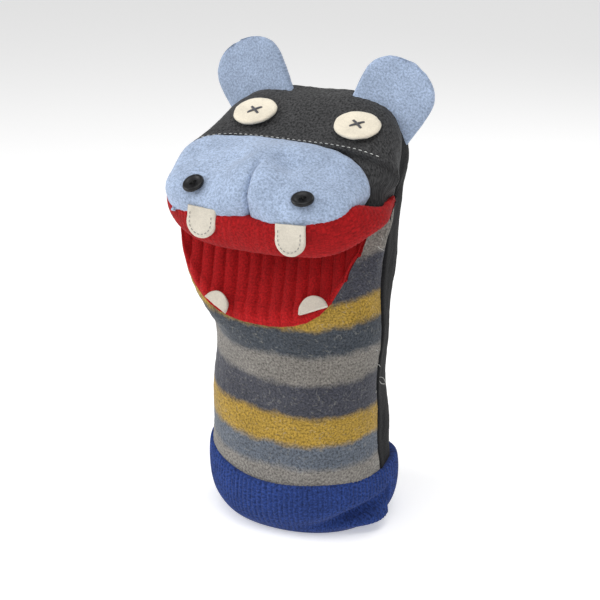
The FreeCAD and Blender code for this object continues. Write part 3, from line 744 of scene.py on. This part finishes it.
def inner_lining():
    """The fleece tube that the hand goes into."""
    nu, nv = 96, 40
    a = circle(nu)[:, None]
    z = np.linspace(30, 165, nv)[None, :]
    x = (50.5 - 1.0 * smooth(z, 100, 160)) * np.cos(a)
    y = 42.6 * np.sin(a) + 0 * z
    cut = np.minimum(z + 0 * a, 128 + 40 * smooth(np.sin(a), -0.2, 0.5))
    p = np.stack([x, y, cut], -1)
    p = nap(p, normals(p, True), 0.2, 15)
    obj = shell("hand_lining_cloth", p, 1.2, closed_u=True)
    finish_piece(obj, "lining", "sleeve", ("hand_lining",))


# ------------------------------------------------------------------ mouth


def upper_mouth():
    """The ribbed red lining of the palate, rolled out into the upper lip."""
    nu = 560
    t = np.linspace(-1, 1, nu)[:, None]
    profile = np.array(
        [
            # inset from the outline as a share of lip size, height
            (0.50, 21.6), (0.18, 22.2), (-0.06, 20.6), (-0.24, 17.0), (-0.32, 12.8), (-0.28, 8.6),
            (-0.10, 5.0), (0.22, 3.0), (0.65, 2.4), (1.2, 2.2), (1.9, 2.0),
        ]
    )
    lip = 9.0
    keys = through(profile, np.linspace(0, 1, 46))
    inset, up = keys[:, 0][None, :] * lip, keys[:, 1][None, :]
    x0, f0 = arc(t, 66.0, 60.0, 2.9)
    x0 = x0 * (1 - 0.07 * (1 - smooth(f0, 0, 22))) - 3.0 * smooth(-x0, 30, 62) * smooth(f0, 8, 30)
    grow = smooth(np.abs(np.cos(t * math.pi / 2)), 0.0, 0.56)
    nx, nf = arc(t, 1.0, 1.0, 2.2)
    norm = np.sqrt(nx**2 + nf**2)
    x = x0 - nx / norm * inset * grow
    f = f0 - nf / norm * inset * grow
    drop = -2.2 * smooth(1 - np.abs(t), 0.25, 0.6) * (1 - 0.4 * smooth(1 - np.abs(t), 0.7, 1.0))
    up = up * (0.16 + 0.84 * grow) + drop * (1 - smooth(up, 8, 20)) * grow + 0.4
    # the palate runs on from the lip back to the fold
    deep = np.linspace(0, 1, 34)[None, 1:]
    px = x[:, -1:] * (1 - 0.02 * deep)
    pf = f[:, -1:] * (1 - deep) + 1.0 * deep
    pup = up[:, -1:] * (1 - deep) + 0.2 * deep + 5.0 * np.sin(deep * math.pi) * grow * np.ones_like(px)
    x, f, up = np.hstack([x, px]), np.hstack([f, pf]), np.hstack([up, pup])
    ribs = 62
    ridge = np.abs(np.sin(t * math.pi * ribs / 2)) ** 0.7 - 0.6
    p = palate_point(x, f, up)
    n = normals(p)
    p = p + n * (ridge * 0.4 * grow)[..., None]
    p = p + n * (0.9 * lattice_noise(p, 14.0, 31) * grow)[..., None]
    obj = shell("upper_lining", p, RIB)
    # the lip takes the darkened red, which is painted shade
    finish_piece(obj, "lip_red_painted_shade", "head", ("upper_mouth_lining", "upper_mouth_board"))


def lower_mouth():
    """The ribbed red lining of the lower jaw, with ribs that run from the fold to the rim."""
    nu, nv = 420, 90
    t = np.linspace(-1, 1, nu)[:, None]
    s = np.linspace(0, 1, nv)[None, :]
    x0, f0 = jaw_rim(t, 62.0, 85.5)
    grow = smooth(np.abs(np.cos(t * math.pi / 2)), 0.0, 0.5)
    x = x0 * (1 + 0 * s)
    f = 1.0 + (f0 - 1.0) * s
    rim = smooth(s, 0.93, 1.0)
    down = 3.4 * rim**2 * grow - 1.2 * np.exp(-(((s - 0.9) / 0.05) ** 2)) * grow
    # the middle of the jaw sags like a bib, and its edges curl up a little
    bowl = (1 - (x / 66.0) ** 2) * np.sin(np.clip(f / 86, 0, 1) * math.pi * 0.92)
    down = down + 5.0 * bowl * (1 - rim) - 1.0
    spacing = 8.0
    ridge = np.abs(np.sin((x - 0.24 * f) / spacing * math.pi)) ** 0.6 - 0.6
    p = jaw_point(x, f, down)
    up = np.array([0.0, -math.sin(JAW), math.cos(JAW)])
    p = p + up * (ridge * 1.7 * smooth(f, 2, 14) * (1 - 0.6 * rim))[..., None]
    p = p + up * (1.3 * lattice_noise(p * np.array([1.6, 1, 0.45]), 20.0, 41) * grow)[..., None]
    obj = shell("lower_lining", p, RIB, flip=True)
    finish_piece(obj, "red", "lower_jaw", ("lower_mouth_lining",))


def corner_fold():
    """The gathered rib in the fold at the back of the mouth."""
    s = np.linspace(-61, 61, 90)
    path = np.stack([s, FOLD[1] + 0.5 * np.sin(s / 5), FOLD[2] + 0.4 * np.sin(s / 3.1)], -1)
    obj = joined("fold_roll", [tube(path, 2.2, 14)])
    obj.data.uv_layers.new(name="cloth")
    finish_piece(obj, "red", "sleeve", ("mouth_fold",))


# ------------------------------------------------------------------ muzzle


def muzzle_grid():
    """The snout's cover: a pad with rounded ends and a high bridge, its edge turned under."""
    nu, nv = 200, 130
    u = np.linspace(-1, 1, nu)[:, None]
    v = np.linspace(-1, 1, nv)[None, :]
    # a square sheet rounded to a disc, then let out towards an oblong
    dx, dy = u * np.sqrt(1 - v**2 / 2), v * np.sqrt(1 - u**2 / 2)
    rho = np.maximum(np.hypot(dx, dy), 1e-6)
    n = 3.2 + 0.4 * smooth(-dx, 0.1, 0.7)
    oblong = (np.abs(dx / rho) ** n + np.abs(dy / rho) ** n) ** (-1 / n)
    turn = rho * math.pi / 2 * 1.13
    out = np.sin(turn) ** 0.76 / rho * oblong
    high = np.where(turn < math.pi / 2, np.abs(np.cos(turn)) ** 0.52, np.cos(turn))
    x, f = 60.0 * dx * out - 2.6, 28.0 + 31.5 * dy * out
    side = np.clip(np.abs(x) / 60, 0, 1.1)
    back_height = 28.2 - 4.0 * side**2
    base = back_height + (22.8 - back_height) * smooth(f, -4, 56)
    uneven = np.where(x > 0, -8.0 * side**4, 5.0 * side**2)
    base = base + uneven * (1 - smooth(f, 14, 46)) - 2.0 * smooth(x, 0, 60)
    puff = 12.0 + 4.5 * smooth(f, 12, 46) + 8.0 * np.exp(-((x / 21) ** 2)) * smooth(f, 0, 25)
    p = palate_point(x, f, base + puff * high)
    n = normals(p)
    n = n * np.sign(n[nu // 2, nv // 2] @ np.array([0.0, -0.4, 0.9]))
    fall = smooth(f, 22, 31)
    dart = (3.4 * np.exp(-((x / 1.5) ** 2)) + 3.0 * np.exp(-((x / 7.5) ** 2)) * smooth(f, 26, 54)) * fall
    crease = np.abs(x) - 0.9 * np.maximum(33 - f, 0)
    fold = 0.9 * np.exp(-((crease / 2.8) ** 2)) * smooth(f, 8, 20) * (1 - fall)
    dent = 4.6 * np.exp(-(((x - 15) / 10) ** 2) - ((f - 25) / 9) ** 2)
    dent = dent + 1.3 * np.exp(-(((x + 20) / 8) ** 2) - ((f - 30) / 10) ** 2)
    return p - n * (dart + fold + dent)[..., None]


def upward(p):
    """Normals of a grid, on the side that its middle faces up from."""
    n = normals(p)
    return n * np.sign(n[p.shape[0] // 2, p.shape[1] // 2, 2])


def muzzle():
    """The padded snout in one blue pad, drawn in by a dart that runs up from the lip."""
    p = muzzle_grid()
    n = upward(p)
    p = p + n * (0.8 * lattice_noise(p, 16.0, 51) + 0.45 * lattice_noise(p, 8.0, 52))[..., None]
    p = nap(p, upward(p), 0.2, 13)
    facing_down = normals(p)[p.shape[0] // 2, p.shape[1] // 2, 2] < 0
    obj = shell("muzzle", p, FELT, flip=facing_down)
    finish_piece(
        obj, "blue_pad", "head", ("muzzle_cover", "muzzle_backing", "muzzle_filling")
    )
    fuzz_on("muzzle_fuzz", obj, 900, "blue_pad", "head", seed=31, above=206.0)


# ------------------------------------------------------------------ small pieces


def tab(
    name, frame_m, base, end, length, thick, material, body, nodes, cup=0.0, n=3.0, lift=0.0, tip=None
):
    """A felt tab with soft edges, straight at its root and rounded at its end, by its half widths there."""
    nu, nv = 41, 61
    t = np.linspace(-1, 1, nu)[:, None]
    s = 1 - (1 - np.linspace(0, 1, nv)[None, :]) ** 1.7
    y = length * s * (1 + 0 * t)
    tip = tip or end
    k = np.clip((length * s - (length - tip)) / tip, 0, 0.993)
    w = base + (end - base) * smooth(s, 0, 0.6)
    w = w * np.sqrt(np.clip(1 - k ** n, 0, 1))
    x = w * t
    z = cup * (t**2) * (0.3 + 0.7 * s) + lift * s**2
    edge = 1 - np.minimum(np.abs(t) ** 6 + (s**12), 1)
    half = thick / 2 * (0.45 + 0.55 * np.sqrt(edge))
    top = np.stack([x, y, z + half], -1)
    bottom = np.stack([x, y, z - half], -1)
    verts = np.vstack([top.reshape(-1, 3), bottom.reshape(-1, 3)])
    verts = verts + 0.18 * np.stack([lattice_noise(verts, 3.0, 61 + q) for q in range(3)], -1)
    faces = grid_faces(nu, nv) + grid_faces(nu, nv, nu * nv, True)
    index = np.arange(nu * nv).reshape(nu, nv)
    ring = border(index)
    for a, b in zip(ring, np.roll(ring, -1)):
        faces.append((a, a + nu * nv, b + nu * nv, b))
    R = np.array(frame_m[0])
    world = verts @ R + np.array(frame_m[1])
    uv = np.vstack([np.stack([x, y], -1).reshape(-1, 2)] * 2) * MM
    obj = make_mesh(name, world, faces, uv)
    fix_normals(obj)
    finish_piece(obj, material, body, nodes)
    return obj


def axes_frame(across, up):
    """Rows of a frame: across, up and out."""
    a = np.array(across, float) / np.linalg.norm(across)
    u = np.array(up, float)
    u = u - a * (u @ a)
    u /= np.linalg.norm(u)
    return np.array([a, u, np.cross(a, u)])


def ears():
    """Two soft ears sewn in at the top seam, each left free of the head."""
    for side, sign in (("left", 1), ("right", -1)):
        lean = math.radians(29)
        up = np.array([sign * math.sin(lean), 0.10, math.cos(lean)])
        forward = np.array([sign * 0.10, -1, 0])
        across = np.cross(up, forward)
        rows = axes_frame(across, up)
        # the right ear takes the darkened blue, which is painted shade
        wide, cloth = (1.0, "blue") if sign > 0 else (1.09, "blue_painted_shade")
        root = np.array([sign * 35.8 + 0.8 + 16.0 * (wide - 1), 19.5, 246.0 - sign * 2.0])
        obj = tab(
            f"{side}_ear", (rows, root), base=21.0 * wide, end=23.2 * wide, length=49.0, thick=6.0,
            material=cloth, body="head", nodes=(f"{side}_ear_front", f"{side}_ear_back"),
            cup=2.2, n=2.5, tip=21.0,
        )
        # tab() makes the ear ride on the head, so it is taken off again
        world = obj.matrix_world.copy()
        obj.parent = None
        obj.matrix_world = world
        del obj["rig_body"]
        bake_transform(obj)


def running_stitches(name, path, length, gap, radius, out, material, body, nodes=()):
    """Short threads along a path, each bowed out of the cloth."""
    path = np.asarray(path, float)
    seg = np.linalg.norm(np.diff(path, axis=0), axis=1)
    dist = np.concatenate([[0], np.cumsum(seg)])
    parts = []
    at = 0.5
    while at + length < dist[-1]:
        q = np.linspace(at, at + length, 7)
        c = np.stack([np.interp(q, dist, path[:, k]) for k in range(3)], -1)
        o = np.stack([np.interp(q, dist, out[:, k]) for k in range(3)], -1)
        lift = radius * (1.5 * np.sin(np.linspace(0, math.pi, 7)) - 0.5)
        parts.append(tube(c + o * lift[:, None], radius, 6))
        at += length + gap
    finish_piece(joined(name, parts), material, body, nodes)


def brow_stitches():
    """A row of running stitches just above the brow's hem."""
    across = np.linspace(0.26, 0.78, 160)[:, None]
    row = HEM - 0.020 + np.linspace(-0.01, 0.01, 3)[None, :]
    grid = face_grid(across, row)
    n = normals(grid)[:, 1]
    n = n * np.sign(n[:, 2:])
    running_stitches(
        "brow_thread", grid[:, 1] + n * 0.5, length=1.9, gap=1.7, radius=0.26, out=n,
        material="pale_thread", body="head", nodes=("brow_topstitch",),
    )


def turned(profile, ang, swell=1.0):
    """A round solid from (radius, height) rows that start and end on its axis: (verts, faces)."""
    rings = []
    for r, z in profile[1:-1]:
        rings.append(np.stack([r * swell * np.cos(ang), r * swell * np.sin(ang), z + 0 * ang], -1))
    m, sides = len(rings), len(ang)
    caps = np.array([[0, 0, profile[0][1]], [0, 0, profile[-1][1]]])
    faces = []
    for k in range(m - 1):
        for s in range(sides):
            q = (s + 1) % sides
            faces.append((k * sides + s, (k + 1) * sides + s, (k + 1) * sides + q, k * sides + q))
    for s in range(sides):
        q = (s + 1) % sides
        faces.append((m * sides, s, q))
        faces.append((m * sides + 1, (m - 1) * sides + q, (m - 1) * sides + s))
    return np.vstack(rings + [caps]), faces


def crossed_threads(centre, rows, turns, reach, sink, steps, radius, shifts=(0.0,)):
    """Threads laid across a point at angles in degrees, their ends sunk in: a list of (verts, faces)."""
    parts = []
    for turn in turns:
        d = rows[0] * math.cos(math.radians(turn)) + rows[1] * math.sin(math.radians(turn))
        for shift in shifts:
            beside = np.cross(d, rows[2]) * shift
            q = np.linspace(-1, 1, steps)
            path = centre + beside + np.outer(q * reach, d) + np.outer(2.5 - sink * q**4, rows[2])
            parts.append(tube(path, radius, 8))
    return parts


def disc(name, centre, rows, radius, thick, material, body, nodes):
    """A felt disc with a rounded rim and a slightly hollow face."""
    # distance out as a share of the radius, height
    profile = [(0.0, thick * 0.82), (0.35, thick * 0.84), (0.7, thick * 0.95)]
    profile += [(0.88, thick), (0.97, thick * 0.86)]
    profile += [(1.0, thick * 0.5), (0.97, 0.05), (0.8, 0.0), (0.0, 0.0)]
    ang = circle(64)
    uneven = 1 + 0.012 * np.sin(ang * 3 + 1) + 0.008 * np.sin(ang * 7)
    v, faces = turned([(r * radius, z) for r, z in profile], ang, uneven)
    v = v + 0.12 * np.stack([lattice_noise(v + centre, 2.5, 71 + q) for q in range(3)], -1)
    obj = make_mesh(name, v @ rows + centre, faces)
    fix_normals(obj)
    finish_piece(obj, material, body, nodes)


def eyes():
    """Two oval felt eyes, tipped back a little, each with a cross stitch."""
    grid = face_grid(np.linspace(0, 1, 200)[:, None], np.linspace(0, 0.42, 80)[None, :])
    for side, sign in (("left", 1), ("right", -1)):
        c, n = nearest_on(grid, np.array([sign * 34.0 + 3.0, -2.0, 249.5 - sign * 1.5]))
        across = np.cross([0, 1, 0.8], n)
        n = n + np.array([0.0, 0.14, 0.10])
        n /= np.linalg.norm(n)
        rows = axes_frame(across, np.cross(n, across))
        c = c + n * 1.0
        oval = rows * np.array([1.0, 0.84, 1.0])[:, None]
        disc(
            f"{side}_eye_felt", c, oval, radius=14.2, thick=2.4, material="cream", body="head",
            nodes=(f"{side}_eye",),
        )
        parts = crossed_threads(
            c, rows, (38, 142), reach=5.4, sink=0.9, steps=9, radius=0.38, shifts=(-0.35, 0.35)
        )
        obj = joined(f"{side}_eye_cross", parts)
        finish_piece(obj, "grey_thread", "head", (f"{side}_eye_cross_stitch",))


def nearest_on(grid, target):
    """The grid point closest to a place, with its normal on the upper side."""
    d = np.linalg.norm(grid - target, axis=-1)
    i = np.unravel_index(np.argmin(d), d.shape)
    return grid[i], upward(grid)[i]


def nostrils():
    """Two buttons on the muzzle, with their threads."""
    grid = muzzle_grid()
    for side, sign in (("left", 1), ("right", -1)):
        c, n = nearest_on(grid, np.array([sign * 34.6, -66.5, 221.5]))
        n = n + (np.array([0.0, -0.10, 1.5]) if sign > 0 else np.array([0.0, -0.25, 0.80]))
        n /= np.linalg.norm(n)
        c = c + n * 1.5
        across = np.cross([0, 1, 0.3], n)
        rows = axes_frame(across, np.cross(n, across))
        # distance out and height, from the middle of the face round the rim to the back
        profile = [(0, 2.3), (2.0, 2.3), (3.9, 2.4), (4.6, 2.9), (5.5, 3.0)]
        profile += [(6.2, 2.7), (6.6, 1.9), (6.4, 0.9), (5.4, 0.3), (0, 0)]
        sunk = 0.6
        verts, faces = turned([(r, z - sunk) for r, z in profile], circle(56))
        obj = make_mesh(f"{side}_button", verts @ rows + c, faces)
        fix_normals(obj)
        finish_piece(obj, "black_gloss", "head", (f"{side}_nostril_button",))
        parts = crossed_threads(c, rows, (45, 135), reach=2.2, sink=0.8, steps=7, radius=0.45)
        thread = joined(f"{side}_button_thread", parts)
        finish_piece(thread, "black_thread", "head", (f"{side}_nostril_thread",))


def teeth():
    """Two long upper teeth and two short lower ones."""
    for side, sign in (("left", 1), ("right", -1)):
        rows = axes_frame([1, 0, 0.05 * sign], [0, -0.10, -1])
        root = np.array([sign * 28.6, -70.3, 210.2 - sign * 1.4])
        tab(
            f"upper_{side}_tooth", (rows, root), base=9.3, end=9.5, length=18.0, thick=3.2,
            material="ivory", body="head", nodes=(f"upper_{side}_tooth_back", f"upper_{side}_tooth_front"),
            n=2.2,
        )
        edge_stitches(
            f"upper_{side}_tooth_thread", rows, root, half=7.1, length=15.8, height=-1.65, body="head"
        )
        spin = math.radians(180 - sign * 26)
        fwd = np.array([0, -math.cos(JAW), -math.sin(JAW)])
        side_axis = np.array([1.0, 0, 0])
        up = fwd * math.cos(spin) - side_axis * math.sin(spin)
        out = np.array([0.0, -math.sin(JAW), math.cos(JAW)])
        across = np.cross(up, out)
        rows = axes_frame(across, up)
        root = jaw_point(np.array(sign * 32.0), np.array(76.5 - sign * 3.5), np.array(-1.4))
        tab(
            f"lower_{side}_tooth", (rows, root), base=9.0, end=9.2, length=8.4, thick=2.8,
            material="ivory", body="lower_jaw",
            nodes=(f"lower_{side}_tooth_back", f"lower_{side}_tooth_front"),
            n=2.2, lift=1.6,
        )


def edge_stitches(name, rows, root, half, length, height, body):
    """A U of running stitches near a tab's edge, on the side that its height is towards."""
    a = np.linspace(-math.pi / 2, math.pi / 2, 40)
    x = np.concatenate([[-half] * 12, half * np.sin(a), [half] * 12])
    up_side, down_side = np.linspace(3, length - half, 12), np.linspace(length - half, 3, 12)
    y = np.concatenate([up_side, length - half + half * np.cos(a), down_side])
    pts = np.stack([x, y, np.full_like(x, height)], -1) @ rows + root
    out = np.tile(rows[2] * np.sign(height), (len(x), 1))
    running_stitches(
        name, pts, length=1.5, gap=1.0, radius=0.2, out=out, material="tooth_thread", body=body
    )


# ------------------------------------------------------------------ loose fibres


def loose_fibres(name, roots, outs, length, radius, material, body, seed):
    """Short curled fibres that stand off the cloth."""
    pick = np.random.default_rng(seed)
    parts = []
    for root, out in zip(roots, outs):
        side = np.cross(out, pick.normal(size=3))
        side /= np.linalg.norm(side)
        size = length * pick.uniform(0.5, 1.3)
        q = np.linspace(0, 1, 6)
        bend = pick.uniform(-0.9, 0.9)
        path = root + size * (
            np.outer(q * 0.75 - 0.35 * q**2, out) + np.outer(q * 0.6 + 0.3 * q**2, side)
        )
        path = path + size * 0.25 * bend * np.outer(np.sin(q * 4), np.cross(out, side))
        parts.append(tube(path - 0.25 * out, radius, 3))
    finish_piece(joined(name, parts), material, body)


FUZZ_LENGTH, FUZZ_RADIUS = 1.5, 0.045


def fuzz_on(name, obj, count, material, body, seed, above):
    """Fibres scattered over both faces of a finished piece, where it is higher than a level in mm."""
    pick = np.random.default_rng(seed)
    mesh = obj.data
    area = np.array([f.area * (f.center.z > above * MM) for f in mesh.polygons])
    chosen = pick.choice(len(area), count, p=area / area.sum())
    roots = np.array([mesh.polygons[int(k)].center for k in chosen]) / MM
    outs = np.array([mesh.polygons[int(k)].normal for k in chosen])
    loose_fibres(name, roots, outs, FUZZ_LENGTH, FUZZ_RADIUS, material, body, seed)


def seam_threads():
    """Pale threads left at the striped panel's left seam."""
    z = np.array([121.0, 108.0, 99.0, 96.5, 90.0, 188.0, 193.0])
    x = sleeve_half_width(z) + 0.6
    roots = np.stack([x, FOLD[1] + np.array([-5, -2, 1, 2, -3, -12, -9.0]), z], -1)
    outs = np.tile([0.85, -0.5, 0.1], (len(z), 1))
    loose_fibres("seam_threads", roots, outs, 4.6, 0.2, "pale_thread", "sleeve", 5)


# ------------------------------------------------------------------ build

front_panel()
back_panel()
face_panel()
cuff()
inner_lining()
upper_mouth()
lower_mouth()
corner_fold()
muzzle()
ears()
brow_stitches()
eyes()
nostrils()
teeth()
seam_threads()

# ------------------------------------------------------------------ stage, light and camera


def stage():
    """A plain pale floor and a white studio."""
    size = 12.0
    mesh = bpy.data.meshes.new("floor")
    corners = [(-size, -size, 0), (size, -size, 0), (size, size, 0), (-size, size, 0)]
    mesh.from_pydata(corners, [], [(0, 1, 2, 3)])
    floor = bpy.data.objects.new("floor", mesh)
    bpy.context.collection.objects.link(floor)
    m = Nodes("floor_paint")
    m.bsdf.inputs["Base Color"].default_value = (0.90, 0.90, 0.90, 1)
    m.bsdf.inputs["Emission Color"].default_value = (1, 1, 1, 1)
    m.bsdf.inputs["Emission Strength"].default_value = 0.36
    m.bsdf.inputs["Roughness"].default_value = 0.9
    mesh.materials.append(m.mat)
    world = bpy.data.worlds.new("studio")
    world.use_nodes = True
    world.node_tree.nodes["Background"].inputs["Color"].default_value = (1, 1, 1, 1)
    world.node_tree.nodes["Background"].inputs["Strength"].default_value = 0.40
    bpy.context.scene.world = world


def area_light(name, place, target, size, power):
    """A square soft light that faces a target, in metres."""
    light = bpy.data.lights.new(name, "AREA")
    light.shape = "SQUARE"
    light.size = size
    light.energy = power
    obj = bpy.data.objects.new(name, light)
    obj.location = place
    direction = Vector(target) - Vector(place)
    obj.rotation_euler = direction.to_track_quat("-Z", "Y").to_euler()
    bpy.context.collection.objects.link(obj)


def camera(azimuth, elevation, distance, target, fov):
    """The camera, placed by angles in degrees and a distance in mm from its target."""
    a, e = math.radians(azimuth), math.radians(elevation)
    back = Vector((math.sin(a) * math.cos(e), -math.cos(a) * math.cos(e), math.sin(e)))
    data = bpy.data.cameras.new("camera")
    data.sensor_width = 36
    data.lens = 18 / math.tan(math.radians(fov) / 2)
    obj = bpy.data.objects.new("camera", data)
    obj.location = Vector(target) * MM + back * distance * MM
    obj.rotation_euler = back.to_track_quat("Z", "Y").to_euler()
    bpy.context.collection.objects.link(obj)
    bpy.context.scene.camera = obj


stage()
# name, place, target, size and power in watts
area_light("key", (-0.95, -0.60, 0.70), (0, 0, 0.16), 0.7, 7.5)
area_light("top", (0.10, -0.35, 1.25), (0, -0.02, 0.2), 0.8, 6.0)
area_light("fill", (0.9, -0.9, 0.6), (0, 0, 0.15), 0.9, 3.0)
area_light("rim", (0.2, 0.9, 0.9), (0, 0, 0.2), 0.6, 3.0)
camera(azimuth=28, elevation=19, distance=950, target=(0, -5, 140), fov=22)
bpy.context.scene.view_settings.view_transform = "Standard"

bpy.context.view_layer.update()
